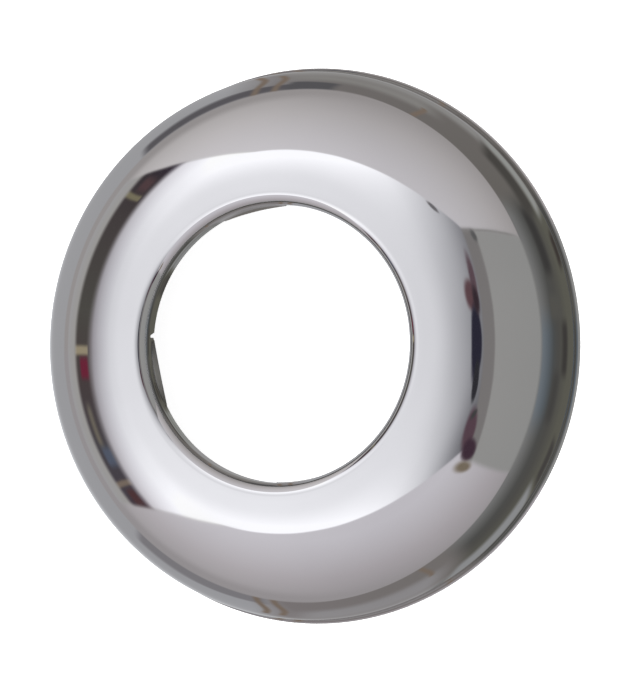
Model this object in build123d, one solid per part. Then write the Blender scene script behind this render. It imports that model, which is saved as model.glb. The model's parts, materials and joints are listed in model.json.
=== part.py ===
from build123d import *
import os
from math import acos, asin, atan2, ceil, cos, degrees, hypot, radians, sin, tan

# Tap rosette: the chrome-plated cover ring that hides the hole in the wall behind a tap's union.
# It is one disc of sheet metal, drawn to a dome. Its bore edge is rolled in and down to a short
# collar with four pressed lugs, and its wall edge is turned out to a small foot.
# Frame: Z is the axis, the foot stands on Z = 0, and the lugs lie on the X and Y axes. Millimetres.

# The sheet and the ring's overall sizes
SHEET = 0.7
OUTER_DIAMETER = 65.0
HEIGHT = 12.8
BORE_DIAMETER = 31.7

# The rolled lip, from the bore's wall over the crown, which is the highest ring, until it falls a
# little. There the sheet runs straight for a short band
LIP_RADIUS = 1.45
BAND_FALL = 3.5
BAND_WIDTH = 1.8

# The collar hangs from the lip: a round band, then a slightly drafted edge that holds the lugs
COLLAR_BAND = 0.5
COLLAR_EDGE = 0.75
COLLAR_DRAFT = 1.5

# From the band the sheet turns down in three arcs: the broad dome, the tighter shoulder and the
# full flank. The last two start where it has turned this far from level, and the last one ends
# just short of upright
DOME_CURVE = 15.63
SHOULDER_START = 47.5
SHOULDER_CURVE = 6.94
FLANK_START = 67.5
FLANK_CURVE = 13.0
FLANK_LEAN = 1.0

# The bright side has true arcs. The hidden back and the small foot follow theirs in straight
# tapers, each no further than this from the arc, which keeps the ring's face count low
TAPER_SAG = 0.125

# The lugs: how wide each is round the collar, how far its ends and the middle of its free edge
# are pressed in, by the azimuth that the lug is centred on, and the slit left at each end
LUG_WIDTH = 7.7
LUG_END_REACH = 0.06
LUG_REACH = {0: 0.45, 90: 0.3, 180: 0.48, 270: 0.1}
SLIT_WIDTH = 0.15

# One slit is torn open to a notch
NOTCH_LUG = 180
NOTCH_WIDTH = 0.9
NOTCH_HEIGHT = 1.35

BORE_RADIUS = BORE_DIAMETER / 2
CROWN_RADIUS = BORE_RADIUS + LIP_RADIUS
LIP_FOOT = HEIGHT - LIP_RADIUS
LUG_ROOT = LIP_FOOT - COLLAR_BAND
FREE_EDGE = LUG_ROOT - COLLAR_EDGE
EDGE_RADIUS = BORE_RADIUS - COLLAR_EDGE * tan(radians(COLLAR_DRAFT))
CUT_MARGIN = 1.0


def along(centre, radius, angle):
    """The point of an arc at an angle in degrees."""
    return centre[0] + radius * cos(radians(angle)), centre[1] + radius * sin(radians(angle))


def falling_arcs():
    """The arcs from the straight band down to the foot, each tangent to the last, and where the
    last of them ends."""
    turns = (
        (DOME_CURVE, 90 - BAND_FALL, 90 - SHOULDER_START),
        (SHOULDER_CURVE, 90 - SHOULDER_START, 90 - FLANK_START),
        (FLANK_CURVE, 90 - FLANK_START, FLANK_LEAN),
    )
    arcs = []
    lip_end = along((CROWN_RADIUS, LIP_FOOT), LIP_RADIUS, 90 - BAND_FALL)
    meet = along(lip_end, BAND_WIDTH, -BAND_FALL)
    for radius, start, end in turns:
        centre = along(meet, -radius, start)
        arcs.append((centre, radius, start, end - start))
        meet = along(centre, radius, end)
    return arcs, meet


def foot_arc():
    """The hollow arc that turns the flank's end out to the full diameter in the wall plane."""
    flank_end = falling_arcs()[1]
    reach = OUTER_DIAMETER / 2 - flank_end[0]
    half_sweep = degrees(atan2(reach, flank_end[1])) - FLANK_LEAN
    radius = hypot(reach, flank_end[1]) / 2 / sin(radians(half_sweep))
    return along(flank_end, radius, FLANK_LEAN), radius


def tapered_arc(centre, radius, start, sweep):
    """Straight tapers from end to end of an arc, as few as stay within TAPER_SAG of it."""
    widest = 2 * degrees(acos(max(0, 1 - TAPER_SAG / radius)))
    count = ceil(abs(sweep) / widest)
    sag = radius * (1 - cos(radians(sweep / count / 2)))
    corners = []
    for step in range(count + 1):
        reach = radius if step in (0, count) else radius + sag / 2
        corners.append(along(centre, reach, start + sweep * step / count))
    Polyline(corners)


def add_skin(depth, draw_arc):
    """Draw one face of the sheet, depth under the bright one, from the free edge to the wall."""
    bore = BORE_RADIUS + depth
    Polyline((EDGE_RADIUS + depth, FREE_EDGE), (bore, LUG_ROOT), (bore, LIP_FOOT))
    lip = ((CROWN_RADIUS, LIP_FOOT), LIP_RADIUS, 180, -90 - BAND_FALL)
    arcs = [lip] + falling_arcs()[0]
    for centre, radius, start, sweep in arcs:
        draw_arc(centre, radius - depth, start, sweep)
    band_ends = [along(centre, radius - depth, 90 - BAND_FALL) for centre, radius, *_ in arcs[:2]]
    Line(*band_ends)
    centre, radius = foot_arc()
    foot_sweep = degrees(asin(centre[1] / (radius + depth))) - FLANK_LEAN
    tapered_arc(centre, radius + depth, 180 + FLANK_LEAN, foot_sweep)


def foot_radius_at_wall(depth):
    """Where the face of the sheet at this depth meets the wall plane."""
    centre, radius = foot_arc()
    return centre[0] - (radius + depth) * cos(asin(centre[1] / (radius + depth)))


def drawn_shell():
    """The whole ring as it leaves the press, with a round collar and no lugs."""
    with BuildPart() as shell:
        with BuildSketch(Plane.XZ):
            with BuildLine():
                add_skin(0, CenterArc)
                add_skin(SHEET, tapered_arc)
                Line((foot_radius_at_wall(0), 0), (foot_radius_at_wall(SHEET), 0))
                Line((EDGE_RADIUS, FREE_EDGE), (EDGE_RADIUS + SHEET, FREE_EDGE))
            make_face()
        revolve(axis=Axis.Z)
    return shell.part


def polar_point(radius, angle, height):
    """A point from its distance to the axis, its azimuth in degrees and its height."""
    return radius * cos(radians(angle)), radius * sin(radians(angle)), height


def arc_or_line(start, middle, end):
    """The edge through three points, straight where they lie in line."""
    a, b, c = Vector(start), Vector(middle), Vector(end)
    if (b - a).cross(c - b).length < 1e-4:
        return Edge.make_line(a, c)
    return Edge.make_three_point_arc(a, b, c)


def band_section(half_angle, radius, end_reach, middle_reach, thickness, height):
    """A level cut through a curved strip of sheet: how far its ends and its middle are pressed in."""
    ends = radius - end_reach
    middle = radius - middle_reach
    inner = [polar_point(r, a, height) for r, a in ((ends, -half_angle), (middle, 0), (ends, half_angle))]
    outer = [
        polar_point(r + thickness, a, height)
        for r, a in ((ends, half_angle), (middle, 0), (ends, -half_angle))
    ]
    edges = [
        arc_or_line(*inner),
        Edge.make_line(inner[2], outer[0]),
        arc_or_line(*outer),
        Edge.make_line(outer[2], inner[0]),
    ]
    return Face(Wire(edges))


def lug(reach):
    """One lug, lofted from the round collar at its root to its pressed-in free edge, on the X axis."""
    half_angle = degrees(LUG_WIDTH / 2 / BORE_RADIUS)
    lean = atan2(reach, COLLAR_EDGE)
    root = band_section(half_angle, BORE_RADIUS, 0, 0, SHEET, LUG_ROOT)
    end_reach = min(LUG_END_REACH, reach)
    free = band_section(half_angle, EDGE_RADIUS, end_reach, reach, SHEET / cos(lean), FREE_EDGE)
    return loft([root, free], ruled=True)


def lug_gap():
    """What is cut from the collar for one lug and its two slits, on the X axis."""
    half_angle = degrees((LUG_WIDTH / 2 + SLIT_WIDTH) / BORE_RADIUS)
    thickness = SHEET + 2 * CUT_MARGIN
    ring = band_section(half_angle, BORE_RADIUS, CUT_MARGIN, CUT_MARGIN, thickness, LUG_ROOT)
    return extrude(ring, COLLAR_EDGE + CUT_MARGIN, dir=(0, 0, -1))


def notch():
    """The slit that is torn open: a wedge through the collar beside its lug, with its tip upwards."""
    side = LUG_WIDTH / 2 + NOTCH_WIDTH / 2
    plane = Plane(origin=(BORE_RADIUS - CUT_MARGIN, 0, FREE_EDGE), x_dir=(0, 1, 0), z_dir=(1, 0, 0))
    half = NOTCH_WIDTH / 2
    spread = half * (1 + CUT_MARGIN / NOTCH_HEIGHT)
    with BuildSketch(plane) as wedge:
        with BuildLine():
            Polyline((-spread, -CUT_MARGIN), (0, NOTCH_HEIGHT), (spread, -CUT_MARGIN), close=True)
        make_face()
    cutter = extrude(wedge.sketch, SHEET + 2 * CUT_MARGIN)
    return Rot(0, 0, NOTCH_LUG - degrees(side / BORE_RADIUS)) * cutter


def rosette():
    """The finished ring: the drawn shell with its four lugs pressed and one slit torn."""
    ring = drawn_shell()
    for azimuth, reach in LUG_REACH.items():
        turn = Rot(0, 0, azimuth)
        ring = ring - turn * lug_gap() + turn * lug(reach)
    ring = ring - notch()
    ring.label = "tap_rosette"
    return ring


os.makedirs("parts", exist_ok=True)
tap_rosette = rosette()
export_step(tap_rosette, "parts/tap_rosette.step")
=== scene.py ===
import json
from math import atan2, cos, hypot, pi, radians, sin, tan

import bmesh
import bpy
from mathutils import Matrix, Vector


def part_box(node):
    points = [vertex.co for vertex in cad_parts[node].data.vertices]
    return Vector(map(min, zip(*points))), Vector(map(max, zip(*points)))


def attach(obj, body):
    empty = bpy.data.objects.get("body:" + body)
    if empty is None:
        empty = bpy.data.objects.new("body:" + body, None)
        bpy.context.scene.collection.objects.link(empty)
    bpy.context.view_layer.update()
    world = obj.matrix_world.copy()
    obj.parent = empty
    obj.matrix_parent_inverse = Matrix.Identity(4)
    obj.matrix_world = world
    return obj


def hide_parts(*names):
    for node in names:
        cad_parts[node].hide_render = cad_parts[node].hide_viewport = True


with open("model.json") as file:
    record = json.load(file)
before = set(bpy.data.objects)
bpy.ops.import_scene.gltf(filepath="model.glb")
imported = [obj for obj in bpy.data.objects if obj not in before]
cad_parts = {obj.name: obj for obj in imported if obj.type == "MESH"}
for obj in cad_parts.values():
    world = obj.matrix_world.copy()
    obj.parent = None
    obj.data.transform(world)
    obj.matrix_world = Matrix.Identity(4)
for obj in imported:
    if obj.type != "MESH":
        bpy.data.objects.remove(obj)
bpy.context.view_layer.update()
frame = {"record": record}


def grey(level, warm=0, cool=0):
    """A tone as it shows in a picture, 0 to 255, with a little more red or blue."""
    return ((level + warm) / 255, level / 255, (level + cool) / 255)


# Tap rosette: one ring of sheet metal, drawn, chromed and polished. Metres, in the frame's axes.
MM = 0.001
NODE = "tap_rosette"
high_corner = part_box(NODE)[1]
mounts = {mount["name"]: mount for mount in frame["record"]["mounts"]}

# The sheet and the ring's overall sizes, drawn a hair inside the CAD model's box
HAIR = 0.0005 * MM
SHEET = 0.7 * MM
OUTER_RADIUS = 32.5 * MM - HAIR
HEIGHT = high_corner.z - HAIR
BORE_RADIUS = mounts["bore"]["dims"]["r_mm"] * MM

# The rolled lip falls a little past the crown, to a short straight band. From there the sheet
# turns down in three arcs, each from how far it has turned from level, almost to upright
LIP_RADIUS = 1.45 * MM
BAND_FALL = radians(3.5)
BAND_WIDTH = 1.8 * MM
DOME_CURVE = 15.63 * MM
SHOULDER_START = radians(47.5)
SHOULDER_CURVE = 6.94 * MM
FLANK_START = radians(67.5)
FLANK_CURVE = 13.0 * MM
FLANK_LEAN = radians(1.0)

# The collar that hangs from the lip, its pressed lugs and the slits between them
COLLAR_BAND = 0.5 * MM
COLLAR_EDGE = 0.75 * MM
COLLAR_DRAFT = radians(1.5)
LUG_WIDTH = 7.7 * MM
LUG_END_REACH = 0.06 * MM
LUG_REACH = {0: 0.45 * MM, 90: 0.3 * MM, 180: 0.48 * MM, 270: 0.1 * MM}
SLIT_WIDTH = 0.15 * MM
NOTCH_LUG = 180
NOTCH_WIDTH = 0.9 * MM
NOTCH_HEIGHT = 1.35 * MM
NOTCH_TIP = 0.02 * MM

# The cut edges are softened by this much, where the skin turns by more than this
EDGE_BREAK = 0.04 * MM
SHARP_ANGLE = radians(40)

LIP_FOOT = HEIGHT - LIP_RADIUS
LUG_ROOT = LIP_FOOT - COLLAR_BAND
FREE_EDGE = LUG_ROOT - COLLAR_EDGE
EDGE_RADIUS = BORE_RADIUS - COLLAR_EDGE * tan(COLLAR_DRAFT)

# The foot's arc turns on by this angle below the wall plane, where it is cut flat
FOOT_SPARE = 0.15

# Points nearer to each other than this are one point
CLOSE = 0.001 * MM

# The plane that the first vertex is merged from, how far beside a gap its cuts reach, and how far
# the press reaches from a lug's middle, in half widths
SEED_SIZE = 1 * MM
CUT_REACH = 4 * SHEET
PRESS_REACH = 1.02

# The places of the back's finish and of the cut edges' finish in the ring's list
BACK_FINISH = 1
CUT_FINISH = 2

# How finely the skin is drawn
COLUMNS = 360
ARC_STEP = radians(1.8)
SMALL_ARC_STEP = radians(3.2)
FOOT_STEP = 1.6 * SMALL_ARC_STEP
COLLAR_ROWS = 6
LIP_WALL_ROWS = 2
BAND_ROWS = 3
BREAK_ROWS = 2

# The camera: its turn about the axis, its tilt off the axis, its roll, its distance from the
# middle of the foot ring and the small aim offset, all fitted to the two circles in the picture
CAMERA_TURN = radians(-15.51)
CAMERA_TILT = radians(19.862)
CAMERA_ROLL = radians(3.302)
CAMERA_DISTANCE = 400 * MM
CAMERA_SIDE = 0.930 * MM
CAMERA_RISE = 0.546 * MM
CAMERA_LENS = 180.44
CAMERA_NEAR = 10 * MM
SENSOR_WIDTH = 36.0

# The finishes of the plate: bright, under its faint haze, and on the lugs, where the press has
# roughened it and their colour is darkened as painted shade: how far inside the bore that shows,
# and how far below the lugs' roots
BRIGHT_PLATE = (0.80, 0.80, 0.81, 1)
HAZED_PLATE = (0.78, 0.78, 0.79, 1)
LUG_PLATE_PAINTED_SHADE = (0.58, 0.57, 0.54, 1)
PLATE_ROUGHNESS = 0.035
HAZE_ROUGHNESS = 0.03
LUG_ROUGHNESS = 0.4
PRESSED_DEPTHS = (0.03 * MM, 0.12 * MM)
PRESSED_HEIGHT = 0.15 * MM

# The hidden back and the cut edges: two tones each, a roughness and how far it changes
BACK_TONES = ((0.60, 0.60, 0.59, 1), (0.70, 0.70, 0.71, 1))
BACK_ROUGHNESS = 0.34
BACK_CHANGE = -0.1
CUT_TONES = ((0.52, 0.52, 0.51, 1), (0.72, 0.72, 0.72, 1))
CUT_ROUGHNESS = 0.22
CUT_CHANGE = 0.15

# The patterns' scale and detail, the levels over which they count, and the bumps' strength and
# distance
HAZE = (90.0, 3.0)
RIPPLE = (260.0, 1.0)
CLOUD = (160.0, 5.0)
GRAIN = (1900.0, 3.0)
SHEAR_MARKS = (2600.0, 2.0)
HAZE_ROUGHENS = (0.45, 0.75)
HAZE_TINTS = (0.4, 0.8)
CLOUD_SHOWS = (0.35, 0.7)
RIPPLE_BUMP = (0.02, 0.2 * MM)
GRAIN_BUMP = (0.25, 0.02 * MM)
SHEAR_BUMP = (0.3, 0.03 * MM)

# The floor and the lamp that gives it its shadow
FLOOR_SIZE = 6.0
FLOOR_TONE = (0.9, 0.9, 0.9, 1)
FLOOR_GLOW = 0.82
LAMP_SIZE = 0.5
LAMP_POWER = 4.0
LAMP_PLACE = (-0.15, 0.1, 0.7)

# The light round the ring. Tones are as a picture shows them in the metal, which gives back about
# this share
METAL_SHARE = 0.82
PICTURE_GAMMA = 2.2
PLAIN_LIGHT = (0.62, 0.62, 0.63, 1)
WHITE = (1, 1, 1, 1)

# The tent's walls are turned this much from the ring's own axes
TENT_TURN = radians(12.0)
DEGREES = 180 / pi

# How far up a direction points: at least this, to find its place on the ceiling, and the range
# over which the ceiling's things fade in
LEAST_UP = 0.02
PATCH_UPS = (0.05, 0.1)

# Lines on the ground lean to one side with depth, by this law
GROUND_DRIFT = 0.38
GROUND_DRIFT_POWER = 3.7

# The ground's tones round the ring, near the ring's level and deep below it, as shares of a turn
# from the left and as shares of a half turn from the right. To the right they go by the fall
GROUND_NEAR = (
    (0.0, grey(153, 0, 2)),
    (0.165, grey(150, 0, 3)),
    (0.19, grey(114, 5, 0)),
    (0.285, grey(110, 4, -2)),
    (0.60, grey(97, 3, -4)),
    (0.78, grey(106, 4, -2)),
    (0.82, grey(122, 3, 0)),
    (0.85, grey(152, 0, 2)),
    (1.0, grey(153, 0, 2)),
)
GROUND_DEEP = (
    (0.0, grey(92, 2, -4)),
    (0.12, grey(86, 2, -4)),
    (0.24, grey(90, 2, -3)),
    (0.31, grey(141, 1, 0)),
    (0.50, grey(145, 1, 0)),
    (0.64, grey(154, 0, 1)),
    (1.0, grey(160, 0, 3)),
)
GROUND_RIGHT = (
    (0.07, grey(112, 0, -1)),
    (0.42, grey(78, 0, -2)),
    (0.55, grey(77, 1, -3)),
    (0.80, grey(89, 1, -8)),
)

# Where the deep ground takes over, which falls the tones to the right span, and which turns they
# cover, with their softness, in degrees
DEEP_FALLS = (143, 156)
RIGHT_FALLS = (85, 160)
RIGHT_TURNS = (-65, 43, 5)

# A pale glow at the left and a cool tint at the right: tone, turns with softness, and falls
LEFT_GLOW = grey(206, -2, 3)
GLOW_TURNS = (-12, 28, 20)
GLOW_FALLS = (112, 150)
COOL_TINT = grey(105, -65, 65)
COOL_TURNS = (-22, 8, 6)
COOL_FALLS = (128, 100)
COOL_SHARE = 0.1

# Things on the ground along the long sides, and to the right: turns round the ring, falls from
# overhead, tone and softness, in degrees
SIDE_THINGS = (
    ((76, 112), (120, 140), grey(126, 2, -3), 5.0),
    ((58, 112), (141, 151), grey(136, 1, -2), 4.0),
    ((-110, -72), (123, 150), grey(134, 2, 1), 5.0),
    ((-70, -50), (151, 159), grey(108, 0, 0), 3.0),
    ((108, 143), (95.7, 105), grey(86, 2, 3), 1.4),
    ((100, 111), (92, 113), grey(84, 1, 2), 1.4),
    ((-146, -116), (94, 106), grey(118, 2, 3), 1.4),
)
RIGHT_THINGS = (
    ((8, 15), (114, 134), grey(82, 1, -4), 2.0),
    ((21, 40), (119, 131), grey(60, 1, -1), 2.5),
    ((-21, -7), (120, 130), grey(69, 1, -2), 2.5),
    ((-7, 7), (133, 143), grey(61, 2, -2), 2.0),
    ((37, 59), (127, 143), grey(70, 2, -3), 2.5),
    ((34, 57), (145, 158), grey(141, -1, -3), 2.5),
    ((20, 28), (149, 158), grey(58, 4, -3), 2.0),
    ((-33, -22), (146, 157), grey(67, 2, -2), 2.0),
    ((-66, -36), (141, 158), grey(136, -1, 1), 2.5),
)

# The tent's poles: turn round the ring and the fall where each is lost, in degrees
POLES = ((78.5, 128), (113.5, 142), (118.0, 150), (-118.0, 142), (-114.0, 142), (-75.0, 127))
POLE_START = 93
POLE_HALF_WIDTH = 0.8
POLE_SOFT = 0.7
POLE_TONE = grey(104, 12, -10)

# The upright walls' tones by height, and the heights over which the front one fades in
TOP_WALL = ((0.0, grey(143, 4, -1)), (0.35, grey(163, 4, 0)), (0.8, grey(184, 3, 3)))
LOW_WALL = ((0.0, grey(143, 4, 1)), (0.35, grey(159, 5, 3)), (0.8, grey(186, 3, 5)))
FRONT_WALL = ((0.0, grey(116, 0, -2)), (0.14, grey(139, 0, -2)), (1.0, grey(143, 1, -2)))
STRIP_TONE = grey(114, 3, -1)
FRONT_UPS = (-0.02, 0.12)

# The walls brighten towards the left and with height, the low one half as much
CORNER_GLOW = 20 / 255
CORNER_RIGHTS = (0.1, -0.75)
CORNER_UPS = (0, 0.15)
LOW_GLOW_SHARE = 0.5

# The seam beside the front wall: tone, how far it lies from the wall's edge, and heights
SEAM_TONE = grey(112, 2, -2)
SEAM_PLACE = (-0.004, 0.008, 0.008)
SEAM_END = (1, 0, -0.5, 0.03)
SEAM_UPS = (0.1, 0.3)
SEAM_SHARE = 0.8

# The walls' lower edge: its height in the middle, and how it leans and bows to the right
HORIZON_DROP = 0.065
HORIZON_LEAN = 0.11
HORIZON_BOW = 0.09
HORIZON_SOFT = 0.02

# The faces' edges, as planes through the ring: right, top and up shares, and softness
LOW_WALL_EDGE = (0, -1, 0, 0.02)
FRONT_EDGES = ((0.6, -1, 0.288, 0.02), (0.76, 1, 0.137, 0.02))
FRONT_TOP = (1, 0, -0.58, 0.02)
STRIP_EDGES = ((1, 0, -0.56, 0.01), (-1, 0, 0.83, 0.02))
LEFT_EDGES = ((-0.606, -1, 0.327, 0.015), (-0.531, 1, 0.181, 0.015), (-1, 0, -0.5, 0.03))
CEILING_EDGES = (
    (-1, 0, 0.58, 0.02),
    (0, -1, 0.65, 0.012),
    (0.02, 1, 0.515, 0.012),
    (1, 0, 0.62, 0.08),
)

# The left wall: its tones by the fall, which bows with the turn, the band under it, the heights
# over which both fade in, and its brighter ends
LEFT_WALL = (
    (0.34, grey(217, 0, 4)),
    (0.43, grey(208, 0, 4)),
    (0.50, grey(189, 1, 5)),
    (0.555, grey(173, 2, 5)),
    (0.605, grey(153, 3, 5)),
    (0.65, grey(130, 4, 4)),
)
LEFT_LOW = ((0.0, grey(153, 1, 1)), (0.2, grey(151, 2, -3)))
LEFT_LOW_UPS = (0.0, 0.05)
LEFT_WALL_UPS = (0.165, 0.262)
LEFT_BOW = 0.2
LEFT_MIDDLE = -5.7
LEFT_SPREAD = 52
ENDS_GLOW = 0.39
ENDS_ROUNDING = 0.3

# The gap under the left wall: where it starts and its softness, in degrees, and how both change
# with the turn
GAP_START = 60.5
GAP_FALL = (0.12, 0.03)
GAP_SOFT = 9.2
GAP_SHARPENING = 0.07

# What is seen through the gap: its tones from turn to turn, the things in it, in the same form
# as the things on the ground, and the posts: place, half width and tone
GAP_TURNS = (-45, 45)
GAP_TONES = (
    (0.05, grey(44, 6, 10)),
    (0.12, grey(54, 6, 3)),
    (0.22, grey(64, 5, 0)),
    (0.42, grey(74, 2, -4)),
    (0.55, grey(64, 8, 0)),
    (0.70, grey(68, 3, 4)),
    (0.80, grey(66, 5, 6)),
    (0.86, grey(54, 14, 6)),
)
GAP_THINGS = (
    ((1.0, 4.6), (63, 72.5), grey(42, 62, 16), 0.9),
    ((9.5, 17.5), (68.5, 73), grey(102, 6, -10), 1.4),
    ((17.6, 21.5), (64, 73), grey(88, -6, 14), 1.1),
    ((-35, -31.5), (63, 72), grey(64, 16, 2), 1.2),
    ((27, 31), (66, 73), grey(56, 22, 2), 1.0),
)
GAP_POSTS = (
    (-29.9, 0.7, grey(110, 6, -20)),
    (-0.3, 0.8, grey(134, 10, -22)),
    (25.4, 0.65, grey(104, 12, -10)),
)
POST_FALLS = (62.5, 79)
POST_SOFT = 0.45

# The ceiling's tone along its length, by the distance from its left end
CEILING_LEVELS = (
    (0.0, 0.86),
    (0.3, 0.845),
    (0.5, 0.79),
    (0.7, 0.69),
    (0.9, 0.60),
    (1.0, 0.55),
)
CEILING_LEFT = -0.6
CEILING_COOL = 0.015

# How it brightens from its middle to its long edges, which eases to the right, and the dimmer
# corner at the lower right
CEILING_MIDDLE = 0.06
MIDDLE_ROUNDING = 0.1
EDGE_RISE = 0.42
RISE_EASING = 0.6
DIM_RIGHTS = (0.1, 0.5)
DIM_TOPS = (-0.02, -0.45)
DIM_SHARE = 0.11

# Dark things at the ceiling's right end: place, half sizes, softness, tilt and tone
CEILING_THINGS = (
    (0.79, 0.71, 0.04, 0.065, 0.5, -0.92, grey(86, 0, 0)),
    (0.43, 0.215, 0.105, 0.06, 0.3, 0.35, grey(68, 22, 4)),
    (0.505, 0.30, 0.048, 0.145, 0.4, -0.1, grey(72, 16, 6)),
    (0.457, 0.02, 0.09, 0.155, 0.2, 0.0, grey(44, 1, 11)),
    (0.48, -0.14, 0.048, 0.09, 0.25, 0.1, grey(48, 0, 4)),
    (0.50, 0.205, 0.05, 0.06, 0.5, 0.0, grey(46, 9, 5)),
    (0.565, -0.405, 0.085, 0.14, 0.3, 0.5, grey(66, 18, 8)),
    (0.56, -0.315, 0.045, 0.022, 0.5, 0.0, grey(66, 0, 0)),
    (0.68, -0.59, 0.068, 0.17, 0.3, 0.9, grey(48, 15, 10)),
    (0.70, -0.74, 0.04, 0.19, 0.5, 0.97, grey(104, 10, -14)),
    (0.295, 0.62, 0.042, 0.028, 0.4, 0.0, grey(100, 2, 2)),
)


def deselect_all():
    """Leave nothing selected, in object mode."""
    if bpy.context.mode != "OBJECT":
        bpy.ops.object.mode_set(mode="OBJECT")
    bpy.ops.object.select_all(action="DESELECT")


def enter_edit(piece, select_mode="VERT"):
    """Open one piece in edit mode with nothing selected."""
    deselect_all()
    piece.select_set(True)
    bpy.context.view_layer.objects.active = piece
    bpy.ops.object.mode_set(mode="EDIT")
    bpy.ops.mesh.select_mode(type=select_mode)
    bpy.ops.mesh.select_all(action="DESELECT")


class SectionPen:
    """Draws the section in the XZ plane, from its last vertex, by extrusions and spins."""

    def __init__(self, radius, height):
        self.at = Vector((radius, 0, height))

    def straight(self, radius, height, rows):
        """A straight line of so many rows to a radius and a height."""
        step = (Vector((radius, 0, height)) - self.at) / rows
        for _ in range(rows):
            bpy.ops.mesh.extrude_vertices_move(TRANSFORM_OT_translate={"value": step})
        self.at = Vector((radius, 0, height))

    def arc(self, centre, sweep, step):
        """A spin about the centre. A positive sweep turns from +X towards +Z."""
        rows = max(2, round(abs(sweep) / step))
        pivot = Vector((centre[0], 0, centre[1]))
        bpy.ops.mesh.spin(steps=rows, angle=sweep, center=pivot, axis=(0, 1, 0))
        self.at = pivot + Matrix.Rotation(-sweep, 3, "Y") @ (self.at - pivot)

    def fall(self, radius, start, end, step):
        """An arc over which the sheet turns from one angle below level to another."""
        centre = (self.at.x - radius * sin(start), self.at.z - radius * cos(start))
        self.arc(centre, start - end, step)

    def foot(self, radius, lean, step):
        """A hollow arc from here, where the sheet leans out a little, down to z = 0."""
        half = atan2(radius - self.at.x, self.at.z) - lean
        curve = hypot(radius - self.at.x, self.at.z) / 2 / sin(half)
        centre = (self.at.x + curve * cos(lean), self.at.z + curve * sin(lean))
        self.arc(centre, 2 * half, step)
        self.arc(centre, FOOT_SPARE, step)


def start_vertex(name, radius, height):
    """A small plane, merged to the one vertex that the section starts from."""
    deselect_all()
    bpy.ops.mesh.primitive_plane_add(size=SEED_SIZE, location=(0, 0, 0))
    piece = bpy.context.object
    piece.name = name
    piece.data.name = name
    enter_edit(piece)
    bpy.ops.mesh.select_all(action="SELECT")
    bpy.ops.mesh.merge(type="CENTER")
    bpy.ops.transform.translate(value=(radius, 0, height))
    return piece


def draw_section():
    """The bright side of the sheet, from the collar's free edge to just past the foot's edge."""
    piece = start_vertex("drawn_ring", EDGE_RADIUS, FREE_EDGE)
    pen = SectionPen(EDGE_RADIUS, FREE_EDGE)
    pen.straight(BORE_RADIUS, LUG_ROOT, COLLAR_ROWS)
    pen.straight(BORE_RADIUS, LIP_FOOT, LIP_WALL_ROWS)
    pen.fall(LIP_RADIUS, -pi / 2, BAND_FALL, SMALL_ARC_STEP)
    across, down = BAND_WIDTH * cos(BAND_FALL), BAND_WIDTH * sin(BAND_FALL)
    pen.straight(pen.at.x + across, pen.at.z - down, BAND_ROWS)
    pen.fall(DOME_CURVE, BAND_FALL, SHOULDER_START, ARC_STEP)
    pen.fall(SHOULDER_CURVE, SHOULDER_START, FLANK_START, ARC_STEP)
    pen.fall(FLANK_CURVE, FLANK_START, pi / 2 - FLANK_LEAN, ARC_STEP)
    pen.foot(OUTER_RADIUS, FLANK_LEAN, FOOT_STEP)
    return piece


def spin_skin():
    """Turn the section about the ring's axis, close the seam and face the skin outwards."""
    bpy.ops.mesh.select_all(action="SELECT")
    bpy.ops.mesh.spin(steps=COLUMNS, angle=2 * pi, center=(0, 0, 0), axis=(0, 0, 1))
    bpy.ops.mesh.select_all(action="SELECT")
    bpy.ops.mesh.remove_doubles(threshold=CLOSE)
    bpy.ops.mesh.normals_make_consistent(inside=False)
    mesh = bmesh.from_edit_mesh(bpy.context.object.data)
    top = max(mesh.faces, key=lambda face: face.calc_center_median().z)
    if top.normal.z < 0:
        bpy.ops.mesh.flip_normals()


def select_faces(mesh, wanted):
    """Select just the faces whose centre passes the test."""
    for face in mesh.faces:
        face.select_set(bool(wanted(face.calc_center_median())))
    mesh.select_flush_mode()


def cut_collar(azimuth, tip_height, tip_gap, mouth_gap):
    """Cut a gap through the collar at an azimuth, from its tip down through the free edge."""
    data = bpy.context.object.data
    outward = Vector((cos(azimuth), sin(azimuth), 0))
    across = Vector((-sin(azimuth), cos(azimuth), 0))
    fall = tip_height - FREE_EDGE
    zone = max(mouth_gap, tip_gap) + CUT_REACH

    def gap_at(height):
        return tip_gap + (mouth_gap - tip_gap) * (tip_height - height) / fall

    def near(point):
        return (
            point.z < tip_height
            and point.dot(outward) > 0
            and abs(point.dot(across)) < zone
            and point.dot(outward) < BORE_RADIUS + SHEET
        )

    for side in (-1, 1):
        tip = outward * BORE_RADIUS + across * side * tip_gap / 2 + Vector((0, 0, tip_height))
        mouth = outward * BORE_RADIUS + across * side * mouth_gap / 2 + Vector((0, 0, FREE_EDGE))
        mesh = bmesh.from_edit_mesh(data)
        select_faces(mesh, near)
        bmesh.update_edit_mesh(data)
        normal = outward.cross(mouth - tip).normalized()
        bpy.ops.mesh.bisect(plane_co=tip, plane_no=normal, threshold=CLOSE)
    mesh = bmesh.from_edit_mesh(data)
    select_faces(mesh, lambda p: near(p) and abs(p.dot(across)) < gap_at(p.z) / 2)
    bmesh.update_edit_mesh(data)
    bpy.ops.mesh.delete(type="FACE")


def cut_slits():
    """A slit at each end of each lug. One of them is torn open to a notch with a pointed tip."""
    for lug in LUG_REACH:
        for end in (-1, 1):
            if lug == NOTCH_LUG and end == -1:
                side = (LUG_WIDTH + NOTCH_WIDTH) / 2 / BORE_RADIUS
                tip = FREE_EDGE + NOTCH_HEIGHT
                cut_collar(radians(lug) - side, tip, NOTCH_TIP, NOTCH_WIDTH)
            else:
                side = (LUG_WIDTH + SLIT_WIDTH) / 2 / BORE_RADIUS
                cut_collar(radians(lug) + end * side, LUG_ROOT, SLIT_WIDTH, SLIT_WIDTH)


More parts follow.
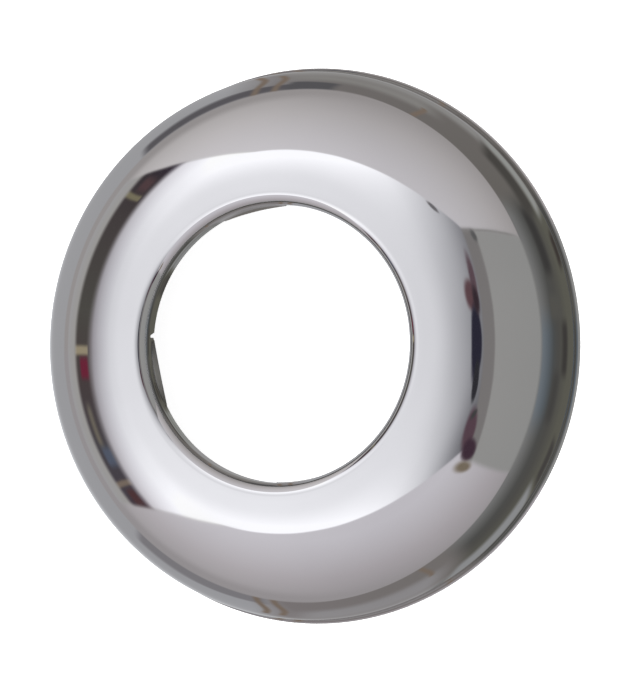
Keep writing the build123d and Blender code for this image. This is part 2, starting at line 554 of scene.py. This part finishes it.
def press_lug(piece, lug, reach):
    """Press one lug inwards: most in the middle of its free edge, not at all at its root."""
    middle = radians(lug)
    end_share = min(1, LUG_END_REACH / reach)
    group = piece.vertex_groups.new(name=f"lug_{lug}")
    for vertex in piece.data.vertices:
        turned = Matrix.Rotation(-middle, 3, "Z") @ vertex.co
        beside = abs(turned.y) / (LUG_WIDTH / 2)
        on_collar = 0 < turned.x < BORE_RADIUS + SHEET and vertex.co.z < LUG_ROOT
        if on_collar and beside < PRESS_REACH:
            across = end_share + (1 - end_share) * (1 - min(1, beside) ** 2)
            down = (LUG_ROOT - vertex.co.z) / COLLAR_EDGE
            group.add([vertex.index], across * down, "REPLACE")
    press = piece.modifiers.new("press", "DISPLACE")
    press.vertex_group = group.name
    press.direction = "X" if lug in (0, 180) else "Y"
    press.mid_level = 0
    press.strength = -reach if lug in (0, 90) else reach
    bpy.ops.object.modifier_apply(modifier=press.name)


def thicken(piece):
    """Give the skin its sheet thickness. The back and the cut edges take their own finishes."""
    wall = piece.modifiers.new("sheet", "SOLIDIFY")
    wall.thickness = SHEET
    wall.offset = -1
    wall.use_even_offset = True
    wall.use_quality_normals = True
    wall.material_offset = BACK_FINISH
    wall.material_offset_rim = CUT_FINISH
    bpy.ops.object.modifier_apply(modifier=wall.name)


def trim_foot(piece):
    """Cut the foot flat in the wall plane and close the cut between its two circles."""
    enter_edit(piece, "EDGE")
    bpy.ops.mesh.select_all(action="SELECT")
    bpy.ops.mesh.bisect(plane_co=(0, 0, 0), plane_no=(0, 0, 1), clear_inner=True, threshold=CLOSE)
    bpy.ops.mesh.select_all(action="DESELECT")
    mesh = bmesh.from_edit_mesh(piece.data)
    for edge in mesh.edges:
        edge.select_set(edge.is_boundary)
    bmesh.update_edit_mesh(piece.data)
    bpy.ops.mesh.bridge_edge_loops()
    mesh = bmesh.from_edit_mesh(piece.data)
    for face in mesh.faces:
        if all(vertex.co.z < CLOSE for vertex in face.verts):
            face.material_index = CUT_FINISH
    bmesh.update_edit_mesh(piece.data)
    bpy.ops.mesh.select_all(action="SELECT")
    bpy.ops.mesh.remove_doubles(threshold=CLOSE)
    bpy.ops.mesh.normals_make_consistent(inside=False)


def break_edges(piece):
    """Take the sharpness off the sheared edges, as polishing does."""
    deselect_all()
    piece.select_set(True)
    bpy.context.view_layer.objects.active = piece
    soft = piece.modifiers.new("break", "BEVEL")
    soft.width = EDGE_BREAK
    soft.segments = BREAK_ROWS
    soft.limit_method = "ANGLE"
    soft.angle_limit = SHARP_ANGLE
    soft.use_clamp_overlap = True
    bpy.ops.object.modifier_apply(modifier=soft.name)
    bpy.ops.object.shade_smooth_by_angle(angle=SHARP_ANGLE)


def make_ring():
    """The whole rosette, as one piece."""
    piece = draw_section()
    spin_skin()
    cut_slits()
    bpy.ops.object.mode_set(mode="OBJECT")
    for lug, reach in LUG_REACH.items():
        press_lug(piece, lug, reach)
    piece.vertex_groups.clear()
    for finish in (polished_plate(), dull_back(), sheared_edge()):
        piece.data.materials.append(finish)
    thicken(piece)
    trim_foot(piece)
    break_edges(piece)
    return piece


class Value:
    """A shader socket that carries a number. Maths on it adds Math nodes."""

    def __init__(self, graph, socket):
        self.graph = graph
        self.socket = socket

    def maths(self, operation, *others):
        numbers = dict(enumerate((self, *others)))
        return self.graph.value("ShaderNodeMath", {"operation": operation}, numbers)

    def __add__(self, other):
        return self.maths("ADD", other)

    def __sub__(self, other):
        return self.maths("SUBTRACT", other)

    def __mul__(self, other):
        return self.maths("MULTIPLY", other)

    def __truediv__(self, other):
        return self.maths("DIVIDE", other)

    def __rsub__(self, other):
        return self.graph.value("ShaderNodeMath", {"operation": "SUBTRACT"}, {0: other, 1: self})

    def __rtruediv__(self, other):
        return self.graph.value("ShaderNodeMath", {"operation": "DIVIDE"}, {0: other, 1: self})

    __radd__ = __add__
    __rmul__ = __mul__


class Graph:
    """The nodes of one material or world."""

    def __init__(self, tree):
        self.tree = tree
        self.tree.nodes.clear()

    def node(self, kind, settings=None, inputs=None):
        """A node of one type: its settings first, then the values or links of its sockets."""
        made = self.tree.nodes.new(kind)
        for name, setting in (settings or {}).items():
            if name == "stops":
                self.set_stops(made.color_ramp, setting)
            elif name == "points":
                self.set_points(made.mapping, setting)
            else:
                setattr(made, name, setting)
        for name, value in (inputs or {}).items():
            socket = made.inputs[name]
            if isinstance(value, Value):
                self.tree.links.new(value.socket, socket)
            elif isinstance(value, bpy.types.NodeSocket):
                self.tree.links.new(value, socket)
            else:
                socket.default_value = value
        return made

    @staticmethod
    def set_stops(ramp, stops):
        """A ramp's stops, as pairs of a place and a colour."""
        while len(ramp.elements) > 1:
            ramp.elements.remove(ramp.elements[-1])
        for index, (place, colour) in enumerate(stops):
            element = ramp.elements[0] if index == 0 else ramp.elements.new(place)
            element.position = place
            element.color = (*colour, 1)

    @staticmethod
    def set_points(mapping, points):
        """A curve's points, as pairs of a place and a level."""
        curve = mapping.curves[0]
        for _ in points[2:]:
            curve.points.new(0.5, 0.5)
        for point, (place, level) in zip(curve.points, points):
            point.location = (place, level)
            point.handle_type = "AUTO"
        mapping.update()

    def value(self, kind, settings=None, inputs=None):
        """A node that gives a number."""
        return Value(self, self.node(kind, settings, inputs).outputs[0])

    def ramp(self, factor, stops):
        """The colour at a place along a list of stops."""
        return self.node("ShaderNodeValToRGB", {"stops": stops}, {"Fac": factor}).outputs["Color"]

    def mix(self, factor, under, over):
        """One colour laid over another."""
        settings = {"data_type": "RGBA", "clamp_factor": True}
        made = self.node("ShaderNodeMix", settings, {0: factor, 6: under, 7: over})
        return made.outputs[2]

    def fade(self, value, start, end):
        """A smooth step from 0 at start to 1 at end."""
        settings = {"interpolation_type": "SMOOTHSTEP"}
        inputs = {"Value": value, "From Min": start, "From Max": end}
        return self.value("ShaderNodeMapRange", settings, inputs)

    def parts(self, vector):
        """The three numbers of a vector."""
        made = self.node("ShaderNodeSeparateXYZ", None, {0: vector})
        return [Value(self, socket) for socket in made.outputs]

    def noise(self, place, scale, detail):
        """A cloudy pattern of this scale."""
        inputs = {"Vector": place, "Scale": scale, "Detail": detail}
        return self.value("ShaderNodeTexNoise", None, inputs)

    def bump(self, height, strength, distance):
        """The normal of a surface with a height pattern on it."""
        inputs = {"Strength": strength, "Distance": distance, "Height": height}
        return self.node("ShaderNodeBump", None, inputs).outputs[0]

    def shader(self, kind, inputs=None):
        """A node that gives a shader."""
        return self.node(kind, None, inputs).outputs[0]

    def choose(self, factor, first, second):
        """The first shader where the factor is 0, the second where it is 1."""
        return self.shader("ShaderNodeMixShader", {0: factor, 1: first, 2: second})


def new_material(name):
    """A material and its graph, still empty."""
    material = bpy.data.materials.new(name)
    material.use_nodes = True
    return material, Graph(material.node_tree)


def finish_metal(graph, colour, roughness, normal):
    """The metal shader that each finish ends in."""
    inputs = {"Base Color": colour, "Roughness": roughness, "Metallic": 1.0, "Normal": normal}
    metal = graph.shader("ShaderNodeBsdfPrincipled", inputs)
    graph.node("ShaderNodeOutputMaterial", None, {"Surface": metal})


def polished_plate():
    """Bright chrome: a nearly clean mirror, with a faint haze and the buffing's fine ripple. The
    press has left the lugs' faces rougher, and their colour is darkened there as painted shade."""
    material, graph = new_material("polished_plate")
    place = graph.node("ShaderNodeTexCoord").outputs["Object"]
    haze = graph.noise(place, *HAZE)
    x, y, z = graph.parts(place)
    from_axis = (x * x + y * y).maths("SQRT")
    start, end = (BORE_RADIUS - depth for depth in PRESSED_DEPTHS)
    lug_dull_and_shade = graph.fade(from_axis, start, end)
    lug_dull_and_shade = lug_dull_and_shade * graph.fade(z, LUG_ROOT, LUG_ROOT - PRESSED_HEIGHT)
    roughness = PLATE_ROUGHNESS + graph.fade(haze, *HAZE_ROUGHENS) * HAZE_ROUGHNESS
    roughness = roughness + lug_dull_and_shade * LUG_ROUGHNESS
    ripple = graph.noise(place, *RIPPLE)
    colour = graph.mix(graph.fade(haze, *HAZE_TINTS), BRIGHT_PLATE, HAZED_PLATE)
    # The lugs' faces: rougher from the press, and darker in colour as painted shade
    colour = graph.mix(lug_dull_and_shade, colour, LUG_PLATE_PAINTED_SHADE)
    finish_metal(graph, colour, roughness, graph.bump(ripple, *RIPPLE_BUMP))
    return material


def dull_back():
    """The hidden back: plated but never polished, a little cloudy."""
    material, graph = new_material("dull_back")
    place = graph.node("ShaderNodeTexCoord").outputs["Object"]
    cloud = graph.noise(place, *CLOUD)
    grain = graph.noise(place, *GRAIN)
    mask = graph.fade(cloud, *CLOUD_SHOWS)
    colour = graph.mix(mask, *BACK_TONES)
    roughness = BACK_ROUGHNESS + mask * BACK_CHANGE
    finish_metal(graph, colour, roughness, graph.bump(grain, *GRAIN_BUMP))
    return material


def sheared_edge():
    """The cut edges of the sheet: fine shear marks across the thickness, plated over."""
    material, graph = new_material("sheared_edge")
    place = graph.node("ShaderNodeTexCoord").outputs["Object"]
    marks = graph.noise(place, *SHEAR_MARKS)
    colour = graph.mix(marks, *CUT_TONES)
    roughness = CUT_ROUGHNESS + marks * CUT_CHANGE
    finish_metal(graph, colour, roughness, graph.bump(marks, *SHEAR_BUMP))
    return material


class Tent:
    """The light tent as the metal sees it: plain directions, each face and thing a soft mask."""

    def __init__(self, graph):
        self.graph = graph
        direction = graph.node("ShaderNodeTexCoord").outputs["Generated"]
        x, y, self.up = graph.parts(direction)
        self.right = x * cos(TENT_TURN) - y * sin(TENT_TURN)
        self.top = x * sin(TENT_TURN) + y * cos(TENT_TURN)
        above = self.up.maths("MAXIMUM", LEAST_UP)
        self.gx = self.right / above
        self.gy = self.top / above
        self.fall = self.up.maths("ARCCOSINE") * DEGREES
        self.left_turn = (self.top * -1).maths("ARCTAN2", self.right * -1) * DEGREES
        drift = (self.up * -1).maths("MAXIMUM", 0.0).maths("POWER", GROUND_DRIFT_POWER)
        ground_right = self.right + drift * GROUND_DRIFT
        self.turn = self.top.maths("ARCTAN2", ground_right) * DEGREES

    def share(self, value, start, end):
        """How far a value is from one place to another, 0 to 1."""
        return (value - start) * (1 / (end - start))

    def side(self, a, b, c, soft):
        """1 where a*right + b*top + c*up is positive: one side of a plane through the ring."""
        size = (a * a + b * b + c * c) ** 0.5
        reach = (self.right * a + self.top * b + self.up * c) * (1 / size)
        return self.graph.fade(reach, -soft, soft)

    def inside(self, edges):
        """1 on the inner side of all of a face's edges."""
        mask = self.side(*edges[0])
        for edge in edges[1:]:
            mask = mask * self.side(*edge)
        return mask

    def span(self, value, start, end, soft):
        """1 from one place to another, with soft ends."""
        entry = self.graph.fade(value, start - soft, start + soft)
        return entry * self.graph.fade(value, end + soft, end - soft)

    def thing(self, colour, turns, falls, tone, soft, turn=None):
        """One thing laid over a colour: its turns round the ring and falls from overhead, in
        degrees. Without a turn of its own it is on the ground."""
        mask = self.span(turn or self.turn, *turns, soft) * self.span(self.fall, *falls, 2 * soft)
        return self.graph.mix(mask, colour, (*tone, 1))

    def patch(self, x, y, width, height, soft, tilt):
        """1 inside an ellipse on the ceiling, in ceiling heights from the point overhead."""
        dx = self.gx - x
        dy = self.gy - y
        across = (dx * cos(tilt) + dy * sin(tilt)) / width
        along = (dy * cos(tilt) - dx * sin(tilt)) / height
        reach = (across * across + along * along).maths("SQRT")
        return self.graph.fade(reach, 1 + soft, 1 - soft) * self.graph.fade(self.up, *PATCH_UPS)

    def brighten(self, colour, level):
        """A colour made lighter by a grey."""
        settings = {"data_type": "RGBA", "blend_type": "ADD", "clamp_result": True}
        inputs = {0: 1.0, 6: colour, 7: self.tone(level)}
        return self.graph.node("ShaderNodeMix", settings, inputs).outputs[2]

    def rounded(self, value, rounding):
        """How far a number is from 0, with a rounded turn there."""
        return (value * value + rounding * rounding).maths("SQRT") - rounding

    def tone(self, level, cool=0.0):
        """A grey, or one a little blue, from a number."""
        inputs = {0: level, 1: level, 2: level + cool}
        return self.graph.node("ShaderNodeCombineColor", None, inputs).outputs[0]


def paint_ground(tent):
    """What lies and stands below the ring's own level, seen mostly in the flank and the foot."""
    graph = tent.graph
    near = graph.ramp(tent.share(tent.turn, -180, 180), GROUND_NEAR)
    deep = graph.ramp(tent.share(tent.turn.maths("ABSOLUTE"), 0, 180), GROUND_DEEP)
    colour = graph.mix(graph.fade(tent.fall, *DEEP_FALLS), near, deep)
    glow = tent.span(tent.left_turn, *GLOW_TURNS) * graph.fade(tent.fall, *GLOW_FALLS)
    colour = graph.mix(glow, colour, (*LEFT_GLOW, 1))
    for turns, falls, tone, soft in SIDE_THINGS:
        colour = tent.thing(colour, turns, falls, tone, soft)
    to_right = graph.ramp(tent.share(tent.fall, *RIGHT_FALLS), GROUND_RIGHT)
    colour = graph.mix(tent.span(tent.turn, *RIGHT_TURNS), colour, to_right)
    cool = tent.span(tent.turn, *COOL_TURNS) * graph.fade(tent.fall, *COOL_FALLS)
    colour = graph.mix(cool * COOL_SHARE, colour, (*COOL_TINT, 1))
    for turns, falls, tone, soft in RIGHT_THINGS:
        colour = tent.thing(colour, turns, falls, tone, soft)
    for place, end in POLES:
        turns = (place - POLE_HALF_WIDTH, place + POLE_HALF_WIDTH)
        colour = tent.thing(colour, turns, (POLE_START, end), POLE_TONE, POLE_SOFT)
    return colour


def paint_walls(tent, colour):
    """The tent's upright faces: two pale long ones that meet at the left, and one in front."""
    graph = tent.graph
    mix = graph.mix
    front_wall = graph.ramp(tent.up, FRONT_WALL)
    edge = tent.right * HORIZON_LEAN + tent.right * tent.right * HORIZON_BOW - HORIZON_DROP
    horizon = graph.fade(tent.up - edge, -HORIZON_SOFT, HORIZON_SOFT)
    glow = graph.fade(tent.right, *CORNER_RIGHTS) * graph.fade(tent.up, *CORNER_UPS) * CORNER_GLOW
    top_wall = tent.brighten(graph.ramp(tent.up, TOP_WALL), glow)
    low_wall = tent.brighten(graph.ramp(tent.up, LOW_WALL), glow * LOW_GLOW_SHARE)
    colour = mix(horizon, colour, top_wall)
    colour = mix(horizon * tent.side(*LOW_WALL_EDGE), colour, low_wall)
    front = tent.inside(FRONT_EDGES)
    front_reach = front * tent.side(*FRONT_TOP) * graph.fade(tent.up, *FRONT_UPS)
    colour = mix(front_reach, colour, front_wall)
    right, top, up, _ = FRONT_EDGES[0]
    seam = tent.right * right + tent.top * top + tent.up * up
    seam = tent.span(seam, *SEAM_PLACE)
    seam = seam * tent.side(*SEAM_END) * graph.fade(tent.up, *SEAM_UPS) * SEAM_SHARE
    colour = mix(seam, colour, (*SEAM_TONE, 1))
    strip = tent.inside(STRIP_EDGES) * front
    return mix(strip, colour, (*STRIP_TONE, 1))


def paint_left(tent, colour):
    """The left wall, which brightens towards its ends, and the gap under it with things seen
    through it."""
    graph = tent.graph
    mix = graph.mix
    turn = tent.left_turn
    away = turn.maths("ABSOLUTE")
    wall = graph.ramp(tent.share(tent.fall - away * LEFT_BOW, 0, 90), LEFT_WALL)
    beside = (turn - LEFT_MIDDLE) * (1 / LEFT_SPREAD)
    ends = tent.rounded(beside, ENDS_ROUNDING)
    bright = tent.brighten(wall, ends * ENDS_GLOW)
    gap_fall = turn.maths("MAXIMUM", 0) * GAP_FALL[0] + turn.maths("MINIMUM", 0) * GAP_FALL[1]
    gap_soft = GAP_SOFT - away * GAP_SHARPENING
    gap = graph.fade((tent.fall - gap_fall - GAP_START) / gap_soft, -0.5, 0.5)
    seen = graph.ramp(tent.share(turn, *GAP_TURNS), GAP_TONES)
    for turns, falls, tone, soft in GAP_THINGS:
        seen = tent.thing(seen, turns, falls, tone, soft, turn)
    for place, half_width, tone in GAP_POSTS:
        turns = (place - half_width, place + half_width)
        seen = tent.thing(seen, turns, POST_FALLS, tone, POST_SOFT, turn)
    left = tent.inside(LEFT_EDGES)
    low = graph.ramp(tent.up, LEFT_LOW)
    colour = mix(left * graph.fade(tent.up, *LEFT_LOW_UPS), colour, low)
    above = left * graph.fade(tent.up, *LEFT_WALL_UPS)
    return mix(above, colour, mix(gap, bright, seen))


def paint_ceiling(tent, colour):
    """The lit ceiling, brightest near its long edges, and the dark things at its right end."""
    graph = tent.graph
    beside = tent.rounded(tent.gy - CEILING_MIDDLE, MIDDLE_ROUNDING)
    slope = EDGE_RISE - tent.gx.maths("MAXIMUM", 0.0) * RISE_EASING
    from_left = tent.gx - CEILING_LEFT
    level = graph.value("ShaderNodeFloatCurve", {"points": CEILING_LEVELS}, {"Value": from_left})
    dim = graph.fade(tent.gx, *DIM_RIGHTS) * graph.fade(tent.gy, *DIM_TOPS) * DIM_SHARE
    level = (level + beside * slope - dim).maths("MINIMUM", 1.0)
    colour = graph.mix(tent.inside(CEILING_EDGES), colour, tent.tone(level, CEILING_COOL))
    for x, y, width, height, soft, tilt, tone in CEILING_THINGS:
        colour = graph.mix(tent.patch(x, y, width, height, soft, tilt), colour, (*tone, 1))
    return colour


def paint_tent(tent):
    """The tent's tones by direction, as the picture's reflections show them."""
    colour = paint_ground(tent)
    colour = paint_walls(tent, colour)
    colour = paint_left(tent, colour)
    colour = paint_ceiling(tent, colour)
    inputs = {"Color": colour, "Gamma": PICTURE_GAMMA}
    return tent.graph.node("ShaderNodeGamma", None, inputs).outputs[0]


def light_the_tent():
    """The world: white for the camera, the painted tent for the metal's reflections, because the
    picture's metal mirrors a tent, and a plain mean level for everything else that it lights."""
    world = bpy.data.worlds.new("light_tent")
    bpy.context.scene.world = world
    world.use_nodes = True
    graph = Graph(world.node_tree)
    rays = graph.node("ShaderNodeLightPath")

    def face(colour, strength=1.0):
        return graph.shader("ShaderNodeBackground", {"Color": colour, "Strength": strength})

    tent = face(paint_tent(Tent(graph)), 1 / METAL_SHARE)
    lit = graph.choose(rays.outputs["Is Glossy Ray"], face(PLAIN_LIGHT), tent)
    shown = graph.choose(rays.outputs["Is Camera Ray"], lit, face(WHITE))
    graph.node("ShaderNodeOutputWorld", None, {"Surface": shown})


def floor_finish():
    """A pale floor that shows white to the camera but for a soft shadow, and from below is
    open. The metal sees the tent's lower part in its place."""
    material, graph = new_material("pale_floor")
    rays = graph.node("ShaderNodeLightPath")
    cloth = graph.shader("ShaderNodeBsdfDiffuse", {"Color": FLOOR_TONE})
    glow = graph.shader("ShaderNodeEmission", {"Color": WHITE, "Strength": FLOOR_GLOW})
    lit = graph.shader("ShaderNodeAddShader", {0: cloth, 1: glow})
    seen = graph.choose(rays.outputs["Is Camera Ray"], cloth, lit)
    metal_ray = Value(graph, rays.outputs["Is Glossy Ray"])
    below = graph.node("ShaderNodeNewGeometry").outputs["Backfacing"]
    open_share = metal_ray.maths("MAXIMUM", Value(graph, below))
    clear = graph.shader("ShaderNodeBsdfTransparent")
    shown = graph.choose(open_share, seen, clear)
    graph.node("ShaderNodeOutputMaterial", None, {"Surface": shown})
    return material


def lay_floor():
    """The plain pale floor, in the plane of the foot."""
    deselect_all()
    bpy.ops.mesh.primitive_plane_add(size=FLOOR_SIZE, location=(0, 0, 0))
    floor = bpy.context.object
    floor.name = "floor"
    floor.data.materials.append(floor_finish())


def hang_lamp():
    """One wide, soft lamp overhead, for the floor's shadow. The metal sees the tent instead."""
    data = bpy.data.lights.new("soft_lamp", "AREA")
    data.size = LAMP_SIZE
    data.energy = LAMP_POWER
    lamp = bpy.data.objects.new("soft_lamp", data)
    lamp.location = LAMP_PLACE
    lamp.rotation_euler = (-lamp.location).to_track_quat("-Z", "Y").to_euler()
    lamp.visible_glossy = False
    bpy.context.scene.collection.objects.link(lamp)


def set_camera():
    """The camera of the picture: near the ring's axis, a little to its right."""
    data = bpy.data.cameras.new("front_camera")
    data.lens = CAMERA_LENS
    data.sensor_width = SENSOR_WIDTH
    data.clip_start = CAMERA_NEAR
    camera = bpy.data.objects.new("front_camera", data)
    turn = (
        Matrix.Rotation(CAMERA_TURN, 4, "Z")
        @ Matrix.Rotation(CAMERA_TILT, 4, "Y")
        @ Matrix.Rotation(CAMERA_ROLL, 4, "Z")
    )
    camera.matrix_world = turn @ Matrix.Translation((CAMERA_SIDE, CAMERA_RISE, CAMERA_DISTANCE))
    bpy.context.scene.collection.objects.link(camera)
    bpy.context.scene.camera = camera


bpy.context.scene.view_settings.view_transform = "Standard"
set_camera()
light_the_tent()
hang_lamp()
lay_floor()
ring = make_ring()
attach(ring, "root")
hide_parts(NODE)
